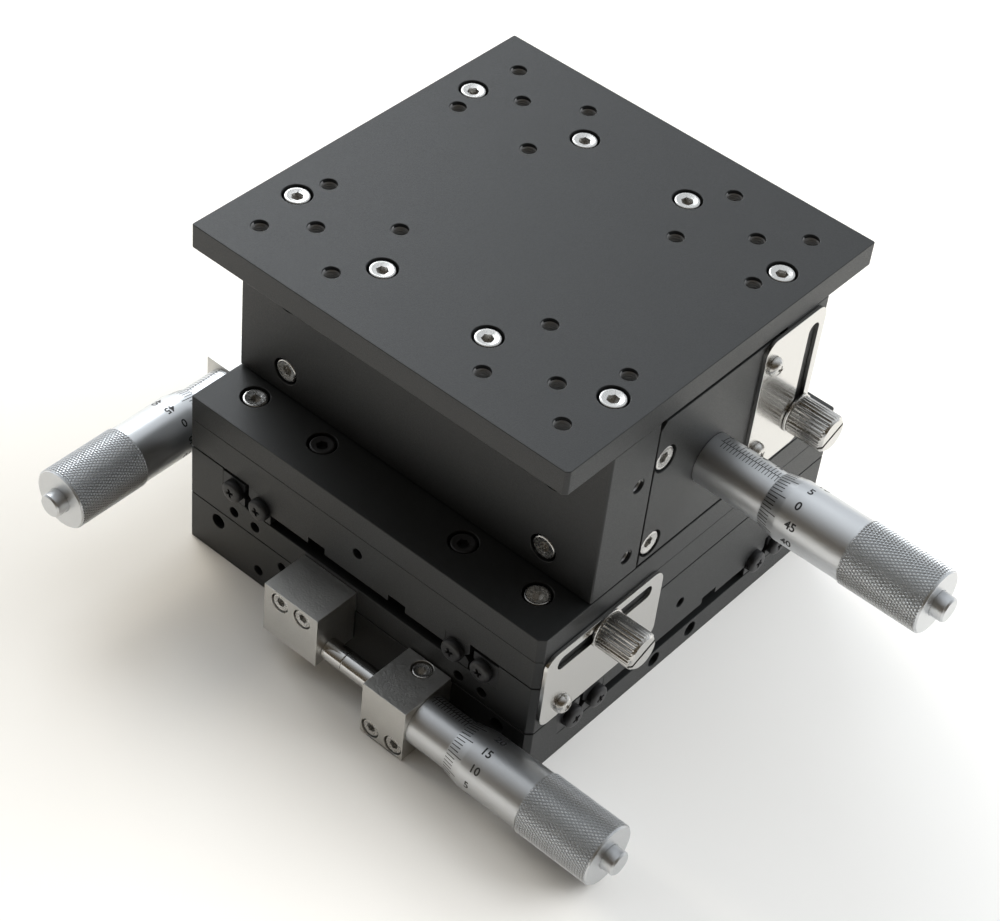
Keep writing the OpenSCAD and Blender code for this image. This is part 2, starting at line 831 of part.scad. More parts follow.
module end_plate() {
    h = core_h;
    difference() {
        translate([core_x, 0, lift_z]) rotate([90, 0, 90]) linear_extrude(end_t) {
            polygon([[-core_half, 0], [core_half, 0], [core_half, h - end_c], [core_half - end_c, h],
                [end_c - core_half, h], [-core_half, h - end_c]]);
        }
        translate([half - foot_line_d, -half, lift_z - over]) {
            cube([foot_line_d + over, side, foot_line_h + over]);
        }
        at_end_screws() big_cut(end_t);
    }
}

module at_wall_rail_screws() {
    both_ends() {
        for (k = [0, 1]) {
            translate([lift_chan_half - rail_screw_in, wall_in + wall_t - big_sink,
                lift_z + rail_screw_low + k*rail_screw_pitch]) {
                rotate([-90, 0, 0]) children();
            }
        }
    }
}

wall_screw_through = wall_t - chan_d;
wall_screw_len = wall_screw_through - big_sink + rail_h/2;

module at_table_screws() {
    translate([0, 0, table_z + table_h - big_sink]) {
        four_ways(table_screw_x, wall_in + wall_screw_far) children();
        four_ways(half - table_screw_edge, wall_in + wall_screw_near) children();
    }
}

module wall() {
    difference() {
        translate([0, wall_in + wall_t/2, wall_z]) linear_extrude(wall_h) cut_square(side, wall_t, wall_c, wall_c);
        translate([0, wall_in, wall_z + wall_h/2]) rotate([90, 0, 0]) rotate([0, 0, 90]) {
            channel_cut(wall_h, lift_chan_half);
        }
        at_wall_rail_screws() socket_cut(big_d, big_sink_d, big_sink, wall_screw_len);
        at_table_screws() big_cut(table_h);
    }
}

// Threaded holes in a wall's end, on the side where no lock plate stands
module wall_end_holes() {
    for (k = [0, 1]) {
        translate([half, wall_in + wall_hole_in, lift_z + rail_screw_low + k*rail_screw_pitch]) {
            rotate([0, 90, 0]) face_hole(wall_hole_d);
        }
    }
}

module base_plate() {
    color(black) difference() {
        slab(base_h, corner_c);
        x_guide() channel_cut(side);
        four_ways(base_hole_x/2, base_hole_y/2) {
            translate([0, 0, -over]) cylinder(d = base_hole_d, h = base_hole_depth + over, $fn = hole_faces);
        }
        on_front(base_big_hole_shares, 0, base_h) face_hole(face_hole_d);
        on_front(base_pin_hole_shares, 0, base_h) face_hole(pin_hole_d);
        on_end(base_end_hole_shares, 0, base_h) face_hole(face_hole_d);
        x_head() at_holder_screws() small_cut(x_axis_out + holder_beyond);
        x_lock() at_lock_screws() small_hole();
    }
}

module x_base_rails() {
    color(steel) difference() {
        x_guide() outer_rails(rail_len);
        x_guide() outer_stops() small_hole();
    }
}

module x_base_stops() {
    color(dark) x_guide() outer_stops() stop_screw();
}

module x_holder_block() {
    color(bare) x_head() holder_block(x_axis_out, x_seam);
}

module x_barrel() {
    color(chrome) x_head() barrel(holder_t);
}

module x_holder_screws() {
    color(steel) x_head() holder_screws(x_axis_out);
}

module x_lock_plate() {
    color(bare) x_lock() lock_plate(x_lock_slot_rise + plate_gap/2);
}

module x_lock_screws() {
    color(steel) x_lock() lock_screws();
}

module mid_plate() {
    color(black) difference() {
        union() {
            translate([0, 0, mid_z]) slab(mid_h, corner_c);
            x_guide() keel(side);
        }
        y_guide() channel_cut(side);
        on_front(mid_pin_hole_shares, mid_z, mid_h) face_hole(pin_hole_d);
        on_end(mid_end_hole_shares, mid_z, mid_h) face_hole(pin_hole_d);
        x_head() at_anvil_screws(x_anvil_seam) small_cut(x_axis_out + anvil_beyond);
        y_head() at_holder_screws() small_cut(y_axis_out + holder_beyond);
        y_lock() at_lock_screws() small_hole();
        x_lock() thumb_bore();
    }
}

module x_slide_rails() {
    color(steel) difference() {
        x_guide() inner_rails(rail_len);
        x_guide() inner_stops() small_hole();
    }
}

module x_slide_stops() {
    color(dark) x_guide() inner_stops() stop_screw();
}

module x_anvil_block() {
    color(bare) x_head() anvil_block(x_axis_out, x_anvil_seam);
}

module x_anvil_tip() {
    color(chrome) x_head() anvil_tip();
}

module x_anvil_screws() {
    color(steel) x_head() at_anvil_screws(x_anvil_seam) small_screw(x_axis_out + anvil_beyond);
}

module y_base_rails() {
    color(steel) difference() {
        y_guide() outer_rails(rail_len);
        y_guide() outer_stops() small_hole();
    }
}

module y_base_stops() {
    color(dark) y_guide() outer_stops() stop_screw();
}

module y_holder_block() {
    color(bare) y_head() holder_block(y_axis_out, y_seam);
}

module y_barrel() {
    color(chrome) y_head() barrel(holder_t);
}

module y_holder_screws() {
    color(steel) y_head() holder_screws(y_axis_out);
}

module y_lock_plate() {
    color(bare) y_lock() lock_plate(y_lock_slot_rise + plate_gap/2);
}

module y_lock_screws() {
    color(steel) y_lock() lock_screws();
}

module x_thumbscrew() {
    color(steel) x_lock() thumbscrew();
}

module upper_plate() {
    color(black) difference() {
        union() {
            translate([0, 0, upper_z]) slab(upper_h, corner_c);
            y_guide() keel(side);
        }
        on_front(upper_pin_hole_shares, upper_z, upper_h) face_hole(pin_hole_d);
        y_head() at_anvil_screws(y_anvil_seam) small_cut(y_axis_out + anvil_beyond);
        at_lift_base_screws() big_cut(lift_base_h);
        y_lock() thumb_bore();
    }
}

module y_slide_rails() {
    color(steel) difference() {
        y_guide() inner_rails(rail_len);
        y_guide() inner_stops() small_hole();
    }
}

module y_slide_stops() {
    color(dark) y_guide() inner_stops() stop_screw();
}

module y_anvil_block() {
    color(bare) y_head() anvil_block(y_axis_out, y_anvil_seam);
}

module y_anvil_tip() {
    color(chrome) y_head() anvil_tip();
}

module y_anvil_screws() {
    color(steel) y_head() at_anvil_screws(y_anvil_seam) small_screw(y_axis_out + anvil_beyond);
}

module lift_base() {
    color(black) difference() {
        translate([0, 0, upper_top]) slab(lift_base_h, corner_c);
        at_lift_base_screws() big_cut(lift_base_h);
    }
}

module lift_base_screws() {
    color(steel) at_lift_base_screws() big_screw(lift_base_h);
}

module front_plate() {
    color(black) difference() {
        end_plate();
        z_head() rotate([0, -90, 0]) translate([0, 0, -over]) {
            cylinder(d = stem_d + 2*run_play, h = end_t + 2*over, $fn = round_faces);
        }
        z_lock() at_lock_screws() small_hole();
    }
}

module front_screws() {
    color(steel) at_end_screws() big_screw(end_t);
}

module rear_plate() {
    color(black) mirror([1, 0, 0]) end_plate();
}

module rear_screws() {
    color(steel) mirror([1, 0, 0]) at_end_screws() big_screw(end_t);
}

module core_cheeks() {
    color(black) difference() {
        union() {
            both_sides() {
                translate([-core_x, cheek_in, lift_z]) cube([2*core_x, cheek_t, core_h]);
            }
            z_guide(lift_z + core_h/2) keel(core_h, lift_keel_half);
        }
        both_ends() at_end_screws() big_cut(end_t);
    }
}

module core_rails() {
    color(steel) z_guide(lift_z + core_h/2) inner_rails(core_rail_len, lift_keel_half);
}

module z_barrel() {
    color(chrome) z_head() barrel(end_t);
}

module z_lock_plate() {
    color(bare) z_lock() lock_plate(lift_slot_in + plate_gap/2);
}

module z_lock_screws() {
    color(steel) z_lock() lock_screws();
}

module y_thumbscrew() {
    color(steel) y_lock() thumbscrew();
}

module table() {
    color(black) difference() {
        translate([0, 0, table_z]) slab(table_h, table_c);
        translate([0, 0, table_z - over]) {
            for (i = [1, 2], j = [1, 2]) {
                four_ways(i*grid_pitch, j*grid_pitch) table_hole();
            }
            four_ways(extra_square/2, extra_square/2) table_hole();
        }
        at_table_screws() big_cut(table_h);
    }
}

module table_hole() {
    cylinder(d = table_hole_d, h = table_h + 2*over, $fn = hole_faces);
}

module front_wall() {
    color(black) mirror([0, 1, 0]) difference() {
        wall();
        wall_end_holes();
    }
}

module back_wall() {
    color(black) difference() {
        wall();
        z_lock() translate([lift_thumb_down, 0, 0]) thumb_bore();
    }
}

module wall_rails() {
    color(steel) difference() {
        z_guide(wall_z + wall_h/2) outer_rails(wall_rail_len, lift_chan_half);
        both_sides() at_wall_rail_screws() socket_cut(big_d, big_sink_d, big_sink, wall_screw_len);
    }
}

module table_screws() {
    color(steel) at_table_screws() big_screw(table_h);
}

module wall_screws() {
    color(steel) both_sides() at_wall_rail_screws() {
        socket_screw(big_d, big_head_d, big_head_h, big_key, wall_screw_len);
    }
}

// Solid between the cheeks, from a side view in X and Z
module between_cheeks(points) {
    w = 2*(cheek_in - cheek_play);
    rotate([90, 0, 0]) linear_extrude(w, center = true) polygon(points);
}

module wedge() {
    color(steel) between_cheeks([[wedge_start, wedge_bottom], [wedge_end, wedge_bottom],
        [wedge_end, wedge_bottom + wedge_high], [wedge_start, wedge_bottom + wedge_low]]);
}

module lift_ramp() {
    z0 = wedge_bottom + wedge_play*2;
    color(steel) between_cheeks([[wedge_start, z0 + wedge_low], [wedge_end, z0 + wedge_high],
        [wedge_end, table_z], [wedge_start, table_z]]);
}

module z_thumbscrew() {
    color(steel) z_lock() translate([lift_thumb_down, 0, 0]) thumbscrew();
}

module x_spindle() {
    color(chrome) x_head() spindle(flat_tip, edge_xy);
}

module x_thimble() {
    color(chrome) x_head() thimble(edge_xy);
}

module y_spindle() {
    color(chrome) y_head() spindle(flat_tip, edge_xy);
}

module y_thimble() {
    color(chrome) y_head() thimble(edge_xy);
}

module z_spindle() {
    color(chrome) z_head() spindle(wedge_end + run_play - half, edge_z);
}

module z_thimble() {
    color(chrome) z_head() thimble(edge_z);
}

module x_cages() {
    color(bronze) x_guide() cages(cage_len);
}

module y_cages() {
    color(bronze) y_guide() cages(cage_len);
}

module z_cages() {
    color(bronze) z_guide(lift_cage_z) cages(lift_cage_len, lift_keel_half);
}

base_plate();
x_base_rails();
x_base_stops();
x_holder_block();
x_barrel();
x_holder_screws();
x_lock_plate();
x_lock_screws();
mid_plate();
x_slide_rails();
x_slide_stops();
x_anvil_block();
x_anvil_tip();
x_anvil_screws();
y_base_rails();
y_base_stops();
y_holder_block();
y_barrel();
y_holder_screws();
y_lock_plate();
y_lock_screws();
x_thumbscrew();
upper_plate();
y_slide_rails();
y_slide_stops();
y_anvil_block();
y_anvil_tip();
y_anvil_screws();
lift_base();
lift_base_screws();
front_plate();
front_screws();
rear_plate();
rear_screws();
core_cheeks();
core_rails();
z_barrel();
z_lock_plate();
z_lock_screws();
y_thumbscrew();
table();
front_wall();
back_wall();
wall_rails();
table_screws();
wall_screws();
lift_ramp();
z_thumbscrew();
wedge();
x_spindle();
x_thimble();
y_spindle();
y_thimble();
z_spindle();
z_thimble();
x_cages();
y_cages();
z_cages();
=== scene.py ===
import bmesh
import bpy
import math
from mathutils import Matrix, Vector
from mathutils.bvhtree import BVHTree
from mathutils.interpolate import poly_3d_calc


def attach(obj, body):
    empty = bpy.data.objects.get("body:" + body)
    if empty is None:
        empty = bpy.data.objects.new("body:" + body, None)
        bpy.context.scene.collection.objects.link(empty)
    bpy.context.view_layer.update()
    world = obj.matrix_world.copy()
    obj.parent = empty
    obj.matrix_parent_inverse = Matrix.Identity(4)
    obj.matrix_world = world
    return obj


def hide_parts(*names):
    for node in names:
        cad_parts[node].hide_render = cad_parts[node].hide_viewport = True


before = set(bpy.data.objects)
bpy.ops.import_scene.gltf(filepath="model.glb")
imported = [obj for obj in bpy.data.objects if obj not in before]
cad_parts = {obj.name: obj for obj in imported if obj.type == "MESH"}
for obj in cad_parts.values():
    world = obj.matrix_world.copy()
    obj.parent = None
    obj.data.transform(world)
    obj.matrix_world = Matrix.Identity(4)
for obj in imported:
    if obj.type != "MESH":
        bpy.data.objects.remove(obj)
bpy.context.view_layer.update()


# Base plate: a square of 17 mm aluminium, milled on every face, black anodised and left matt, so that it
# shows a fine grain. All its sharp edges are broken by a fraction of a millimetre and catch the light.
mm = 0.001
same_point = 0.002 * mm
scene = bpy.context.scene


def shader_group(name, inputs, outputs):
    """An empty node group with named sockets: {name: default} in, [name] out."""
    group = bpy.data.node_groups.new(name, "ShaderNodeTree")
    for socket, value in inputs.items():
        made = group.interface.new_socket(socket, in_out="INPUT", socket_type="NodeSocketFloat")
        made.default_value = value
    for socket in outputs:
        group.interface.new_socket(socket, in_out="OUTPUT", socket_type="NodeSocketFloat")
    return group, group.nodes.new("NodeGroupInput"), group.nodes.new("NodeGroupOutput")


def join(tree, source, out, target, into):
    """Links a node's output to another node's input."""
    tree.links.new(source.outputs[out], target.inputs[into])


grain_group, given, result = shader_group(
    "surface grain", {"Size": 1500.0, "Patch size": 60.0}, ["Grain", "Patches"])
place = grain_group.nodes.new("ShaderNodeTexCoord")
for size, out, detail in (("Size", "Grain", 3.0), ("Patch size", "Patches", 2.0)):
    cloud = grain_group.nodes.new("ShaderNodeTexNoise")
    cloud.inputs["Detail"].default_value = detail
    join(grain_group, place, "Object", cloud, "Vector")
    join(grain_group, given, size, cloud, "Scale")
    join(grain_group, cloud, "Fac", result, out)


def metal(name, colour, metallic=1.0, roughness=0.5):
    """A material with its Principled shader set to one plain finish."""
    made = bpy.data.materials.new(name)
    made.use_nodes = True
    shader = made.node_tree.nodes["Principled BSDF"]
    shader.inputs["Base Color"].default_value = (*colour, 1)
    shader.inputs["Roughness"].default_value = roughness
    shader.inputs["Metallic"].default_value = metallic
    return made


def grained(made, size, depth, rough, dark=None, patch_size=60):
    """Gives a finish its grain: roughness from rough[0] to rough[1], a bump of that depth in millimetres
    and, where dark is given, a base colour that drifts in patches between dark and the plain colour. The
    grain's values lie between 0.3 and 0.7 for the most part."""
    tree = made.node_tree
    shader = tree.nodes["Principled BSDF"]
    grain = tree.nodes.new("ShaderNodeGroup")
    grain.node_tree = grain_group
    grain.inputs["Size"].default_value = size
    grain.inputs["Patch size"].default_value = patch_size
    spread = tree.nodes.new("ShaderNodeMapRange")
    for socket, value in (("From Min", 0.3), ("From Max", 0.7), ("To Min", rough[0]), ("To Max", rough[1])):
        spread.inputs[socket].default_value = value
    join(tree, grain, "Grain", spread, "Value")
    join(tree, spread, "Result", shader, "Roughness")
    bump = tree.nodes.new("ShaderNodeBump")
    bump.inputs["Distance"].default_value = depth * mm
    join(tree, grain, "Grain", bump, "Height")
    join(tree, bump, "Normal", shader, "Normal")
    if dark:
        tint = tree.nodes.new("ShaderNodeMix")
        tint.data_type = "RGBA"
        tint.inputs["A"].default_value = (*dark, 1)
        tint.inputs["B"].default_value = shader.inputs["Base Color"].default_value[:]
        join(tree, grain, "Patches", tint, "Factor")
        join(tree, tint, "Result", shader, "Base Color")
    return made


anodised = grained(metal("black_anodised", (0.013, 0.0138, 0.0140), metallic=0.0), size=4600, depth=0.05,
                   rough=(0.34, 0.58), dark=(0.010, 0.0106, 0.0108), patch_size=90)


def shown(name, mesh, finish, body, node=None):
    """A piece of the object from its mesh, set on a body, in place of the plain solid it stands for."""
    piece = bpy.data.objects.new(name, mesh)
    scene.collection.objects.link(piece)
    mesh.materials.append(finish)
    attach(piece, body)
    if node:
        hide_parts(node)


def break_edges(node, finish, body, width=0.2, splits=()):
    """The machined piece of that name with its sharp edges taken off by a width in millimetres. A face with
    many holes is first split along planes, each given as (axis, share of the piece's reach along it)."""
    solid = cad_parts[node].data
    mesh = bpy.data.meshes.new(node + "_machined")
    mesh.from_pydata([v.co[:] for v in solid.vertices], [], [f.vertices[:] for f in solid.polygons])
    work = bmesh.new()
    work.from_mesh(mesh)
    bmesh.ops.remove_doubles(work, verts=work.verts, dist=same_point)
    bmesh.ops.dissolve_limit(work, angle_limit=math.radians(0.5), verts=work.verts, edges=work.edges)
    for axis, share in splits:
        reach = [v.co[axis] for v in work.verts]
        start = min(reach)
        along = Vector([float(i == axis) for i in range(3)])
        bmesh.ops.bisect_plane(work, geom=work.verts[:] + work.edges[:] + work.faces[:], dist=1e-7,
                               plane_co=along * (start + (max(reach) - start) * share), plane_no=along)
    for face in work.faces:
        face.smooth = True
    work.to_mesh(mesh)
    work.free()
    rough = bpy.data.objects.new(node + "_rough", mesh)
    scene.collection.objects.link(rough)
    cut = rough.modifiers.new("broken edges", "BEVEL")
    cut.width = width * mm
    cut.segments = 2
    cut.limit_method = "ANGLE"
    cut.angle_limit = math.radians(30)
    cut.use_clamp_overlap = False
    cut.harden_normals = True
    flat = bpy.data.meshes.new_from_object(rough.evaluated_get(bpy.context.evaluated_depsgraph_get()))
    bpy.data.objects.remove(rough)
    shown(node + "_machined", flat, finish, body, node)


break_edges("base_plate", anodised, "base")


# Roller guides: pairs of ground, blackened steel rails with a V groove each, bolted into the plates'
# channels, and between them brass cages that hold crossed rollers. Little but the rails' ends can be seen.
rail_steel = grained(metal("ground_steel", (0.045, 0.046, 0.048), metallic=0.6), size=1800, depth=0.01,
                     rough=(0.32, 0.45))
cage_brass = grained(metal("cage_brass", (0.55, 0.38, 0.14)), size=1500, depth=0.01, rough=(0.28, 0.40))


def finish_solid(node, finish):
    """Keeps the plain solid, which hardly shows, and gives it a finish."""
    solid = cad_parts[node]
    solid.data.materials.clear()
    solid.data.materials.append(finish)


for rails in ("x_base_rails", "x_slide_rails", "y_base_rails", "y_slide_rails", "core_rails", "wall_rails"):
    finish_solid(rails, rail_steel)
for cages in ("x_cages", "y_cages", "z_cages"):
    finish_solid(cages, cage_brass)


# Middle and upper plates of the two slides, and the plate that carries the lift, of the same black
# aluminium, each with a keel underneath that the rails are screwed to.
break_edges("mid_plate", anodised, "x_carriage")
break_edges("upper_plate", anodised, "y_carriage")
break_edges("lift_base", anodised, "y_carriage", width=0.25)


# End stops: round-headed black steel screws with a crossed driver recess, two beside each other at every
# end of a guide, one in the outer and one in the inner rail, so that the rollers can't run out.
black_steel = grained(metal("black_screws", (0.016, 0.016, 0.017), metallic=0.0), size=2200, depth=0.02,
                      rough=(0.36, 0.5))


def lathe(work, profile, steps, place=Matrix()):
    """Turns a profile of (radius, height) in millimetres round the local Z axis into the mesh being made.
    A radius of zero closes the end with a point."""
    rings = []
    for r, h in profile:
        angles = [2 * math.pi * i / steps for i in range(steps if r else 1)]
        rings.append([work.verts.new(place @ Vector((r * mm * math.cos(a), r * mm * math.sin(a), h * mm)))
                      for a in angles])
    for low, high in zip(rings, rings[1:]):
        for i in range(steps):
            j = (i + 1) % steps
            corners = (low[i % len(low)], high[i % len(high)], high[j % len(high)], low[j % len(low)])
            work.faces.new(list(dict.fromkeys(corners))).smooth = True


def sharp_over(mesh, degrees):
    """Shades the edges between faces that meet at more than that angle as sharp ones."""
    mesh.set_sharp_from_angle(angle=math.radians(degrees))
    return mesh


def mesh_of(work, name):
    """The mesh of the finished work, which is then put away."""
    made = bpy.data.meshes.new(name)
    work.to_mesh(made)
    work.free()
    return made


def blank(work):
    """An object of the finished work, ready to be cut."""
    made = bpy.data.objects.new("blank", mesh_of(work, "blank"))
    scene.collection.objects.link(made)
    return made


def turned_body(profile, steps):
    """An object turned from a profile, ready to be cut."""
    work = bmesh.new()
    lathe(work, profile, steps)
    bmesh.ops.recalc_face_normals(work, faces=work.faces)
    return blank(work)


def cut_with(body, cutters, sharp):
    """The body's mesh after taking each (corners, faces) solid, in millimetres, out of it. What is left of a
    turned face keeps the shading of the whole one."""
    near, alike = 0.004 * mm, 0.97
    whole = sharp_over(body.data, sharp).copy()
    for corners, faces in cutters:
        bit = bpy.data.meshes.new("bit")
        bit.from_pydata([Vector(c) * mm for c in corners], [], faces)
        cutter = bpy.data.objects.new("bit", bit)
        scene.collection.objects.link(cutter)
        cut = body.modifiers.new("cut", "BOOLEAN")
        cut.operation = "DIFFERENCE"
        cut.object = cutter
        cut.solver = "EXACT"
    made = bpy.data.meshes.new_from_object(body.evaluated_get(bpy.context.evaluated_depsgraph_get()))
    for part in [body] + [m.object for m in body.modifiers]:
        bpy.data.objects.remove(part)
    sharp_over(made, sharp)
    tree = BVHTree.FromPolygons([v.co for v in whole.vertices], [f.vertices[:] for f in whole.polygons])
    normals = []
    for face in made.polygons:
        spot, way, known, gap = tree.find_nearest(face.center)
        was = whole.polygons[known]
        kept = gap < near and was.normal.dot(face.normal) > alike
        for v in face.vertices:
            if kept:
                shares = poly_3d_calc([whole.vertices[k].co for k in was.vertices], made.vertices[v].co)
                blend = sum((whole.corner_normals[c].vector * share
                             for c, share in zip(was.loop_indices, shares)), Vector((0, 0, 0)))
                normals.append(blend.normalized())
            else:
                normals.append(face.normal.copy())
    made.normals_split_custom_set(normals)
    return made


def prism_faces(sides):
    """The faces of a prism whose corners are listed round its lower end and then round its upper end."""
    around = [(k, (k + 1) % sides, (k + 1) % sides + sides, k + sides) for k in range(sides)]
    return [tuple(range(sides))[::-1], tuple(range(sides, 2 * sides))] + around


def crossed_screw(diameter, height, band, bend, cross, reach):
    """A screw with a cross in its domed head, standing on z = 0 with its shank below. The band is the share
    of the head's height that rises straight, and a small bend makes a full dome."""
    r, shank = diameter / 2, 1.5
    outline = [(0, -reach), (shank - 0.2, -reach), (shank, 0.3 - reach), (shank, 0), (r - 0.1, 0), (r, 0.1)]
    outline += [(r * math.cos(a) ** bend, height * (band + (1 - band) * math.sin(a)))
                for a in (math.pi / 2 * k / 10 for k in range(10))]
    outline += [(0, height)]
    arm, wide, deep, above = cross / 2, cross * 0.15, height * 0.6, 0.5
    bits = []
    for turn in (0, math.pi / 2):
        corners = []
        for z, long_share, wide_share in ((height - deep, 0.4, 0.5), (height + above, 1.15, 1.1)):
            for x, y in ((-1, -1), (1, -1), (1, 1), (-1, 1)):
                u, v = x * arm * long_share, y * wide * wide_share
                corners.append((u * math.cos(turn) - v * math.sin(turn),
                                u * math.sin(turn) + v * math.cos(turn), z))
        bits.append((corners, prism_faces(4)))
    return cut_with(turned_body(outline, steps=40), bits, sharp=60)


def screws_of(node):
    """Where the screws of a CAD piece stand: (head's middle, way it faces, head's radius, whole length)."""
    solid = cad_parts[node].data
    work = bmesh.new()
    work.from_mesh(solid)
    bmesh.ops.remove_doubles(work, verts=work.verts, dist=same_point)
    found, left = [], set(work.verts)
    while left:
        reached, group = [left.pop()], []
        while reached:
            v = reached.pop()
            group.append(v.co.copy())
            for e in v.link_edges:
                other = e.other_vert(v)
                if other in left:
                    left.remove(other)
                    reached.append(other)
        low = Vector([min(c[i] for c in group) for i in range(3)])
        high = Vector([max(c[i] for c in group) for i in range(3)])
        middle, size = (low + high) / 2, high - low
        along = max(range(3), key=lambda i: size[i])
        axis = Vector([1.0 if i == along else 0.0 for i in range(3)])
        off = [(c - middle) - axis * (c - middle).dot(axis) for c in group]
        widest = max(range(len(group)), key=lambda i: off[i].length)
        way = axis if (group[widest] - middle).dot(axis) > 0 else -axis
        radius = round(off[widest].length / mm, 2)
        found.append((middle + way * size[along] / 2, way, radius, size[along] / mm))
    work.free()
    return sorted(found, key=lambda f: f[0][:])


def set_of(placed, name):
    """One mesh from copies of others, each given with its place."""
    work = bmesh.new()
    for mesh, where in placed:
        known = len(work.verts)
        work.from_mesh(mesh)
        bmesh.ops.transform(work, matrix=where, verts=list(work.verts)[known:])
    return mesh_of(work, name)


def facing(x, y, z, outward, turn=0):
    """A place in millimetres whose local Z looks along outward, turned about it by so many degrees."""
    aim = Vector(outward).to_track_quat("Z", "Y").to_matrix().to_4x4()
    return Matrix.Translation(Vector((x, y, z)) * mm) @ aim @ Matrix.Rotation(math.radians(turn), 4, "Z")


def crossed_screws(node, name, finish, body, slot, turn, more, height, **head):
    """Screws with crossed heads in place of a node's plain ones, each turned by some degrees more than the
    one before it."""
    found = screws_of(node)
    screw = crossed_screw(height=height, reach=found[0][3] - height, **head)
    placed = [(screw, facing(*(top / mm - way * height), way, turn + more * k))
              for k, (top, way, r, length) in enumerate(found)]
    shown(name, set_of(placed, name), finish, body, node)


for node, body in (("x_base_stops", "base"), ("x_slide_stops", "x_carriage"),
                   ("y_base_stops", "x_carriage"), ("y_slide_stops", "y_carriage")):
    crossed_screws(node, node + "_crossed", black_steel, body, "black_screws", turn=17, more=47,
                   diameter=6.6, height=2.4, band=0.55, bend=0.35, cross=2.9)


# Holder and anvil blocks: bare aluminium, sawn and milled square. A holder grips its micrometer's stem under
# a clamping screw, and the anvil block on the moving plate carries the hard tip that the spindle pushes.
bare = grained(metal("milled_aluminium", (0.66, 0.65, 0.62)), size=1600, depth=0.06, rough=(0.30, 0.48),
               dark=(0.56, 0.55, 0.53), patch_size=120)
for node, body in (("x_holder_block", "base"), ("x_anvil_block", "x_carriage"),
                   ("y_holder_block", "x_carriage"), ("y_anvil_block", "y_carriage")):
    break_edges(node, bare, body)


# Socket screws: nickel-plated steel, with a hexagonal socket in a head that has a turned rim. They hold the
# blocks, the lift's plates, the rails in the walls and the table, each sunk in a counterbore. Of the lift's
# eight that go down into the upper plate, the four inner ones stand in shade on the ledge, and that
# shade is painted in by giving them the black finish.
plated = grained(metal("bright_screws", (0.60, 0.59, 0.57)), size=1600, depth=0.001, rough=(0.22, 0.34))


def socket_screw(r, length):
    """A cap screw with the top of its head at z = 0, its rim turned and its socket broached. By the head's
    radius it has a thread of 4 or 3 mm and a socket for a key of 3 or 2.5 mm."""
    tall, shank, key = (4.0, 2.0, 3.0) if r > 3 else (3.0, 1.5, 2.5)
    mouth, deep, above = 0.76 * r, 2.0, 0.5
    rim = [(r, -0.42), (r - 0.08, -0.2), (r - 0.22, -0.06), (r - 0.42, 0)]
    outline = [(0, -length), (shank - 0.2, -length), (shank, 0.3 - length), (shank, -tall), (r - 0.1, -tall),
               (r, 0.1 - tall)] + rim + [(mouth, 0), (0, -mouth * 0.36)]
    corner = key / math.sqrt(3)
    hexagon = [(corner * math.cos(math.pi / 3 * k), corner * math.sin(math.pi / 3 * k), z)
               for z in (-deep, above) for k in range(6)]
    return cut_with(turned_body(outline, steps=48), [(hexagon, prism_faces(6))], sharp=32)


shade_painted_reach, turn, more = 30, 11, 37
for node, body in (("x_holder_screws", "base"), ("y_holder_screws", "x_carriage"),
                   ("x_anvil_screws", "x_carriage"), ("y_anvil_screws", "y_carriage"),
                   ("lift_base_screws", "y_carriage"), ("front_screws", "y_carriage"),
                   ("rear_screws", "y_carriage"), ("table_screws", "z_carriage"),
                   ("wall_screws", "z_carriage")):
    bright, dark = [], []
    for k, (top, way, r, length) in enumerate(screws_of(node)):
        # Screws this near the middle stand in the ledge's shade, which is painted into them as the black
        # finish.
        inner = node == "lift_base_screws" and abs(top.x) < shade_painted_reach * mm
        placed = (socket_screw(r, length), facing(*(top / mm), way, turn + more * k))
        (dark if inner else bright).append(placed)
    shown(node + "_turned", set_of(bright, node + "_turned"), plated, body, node)
    if dark:
        shown(node + "_painted_shade_black", set_of(dark, node + "_painted_shade_black"), black_steel, body)


# Micrometer sleeves: satin-chromed steel tubes whose stems sit in the holders. Along the top runs a datum
# line with a mark for each millimetre above it and for each half between them below, filled with black.
satin = grained(metal("satin_chrome", (0.64, 0.65, 0.66)), size=2600, depth=0.004, rough=(0.32, 0.42))
ink = metal("scale_ink", (0.02, 0.02, 0.022), metallic=0.0, roughness=0.55)
# By axis: the sleeve's body, the place where it leaves its holder, the stations of the thimble's edge and of
# the scale's zero along it, and the angles round it of the datum line and of the dial's zero.
heads = {
    "x": ("base", Matrix.Translation(Vector((35.4, -72.0, 10.4)) * mm), 13.2, 0.9, 68, 215),
    "y": ("x_carriage", Matrix.Translation(Vector((-75.2, -35.4, 28.7)) * mm) @
          Matrix.Rotation(-math.pi / 2, 4, "Z"), 13.2, 0.9, 112, 48),
    "z": ("y_carriage", Matrix.Translation(Vector((62.0, 0.0, 75.6)) * mm), 20.9, 2.8, 88, 123),
}


def wrapped(x, r, angle):
    """A point on a cylinder round the local X axis, x and r in millimetres, the angle in degrees from Y."""
    a = math.radians(angle)
    return Vector((x, r * math.cos(a), r * math.sin(a))) * mm


def stroke(work, x0, x1, r0, r1, angle0, angle1, place):
    """A filled mark that lies on a turned surface between two stations and two angles."""
    steps = max(1, math.ceil(abs(angle1 - angle0) / 4))
    angles = [angle0 + (angle1 - angle0) * k / steps for k in range(steps + 1)]
    low = [work.verts.new(place @ wrapped(x0, r0, angle)) for angle in angles]
    top = [work.verts.new(place @ wrapped(x1, r1, angle)) for angle in angles]
    for k in range(steps):
        work.faces.new((low[k], top[k], top[k + 1], low[k + 1]))


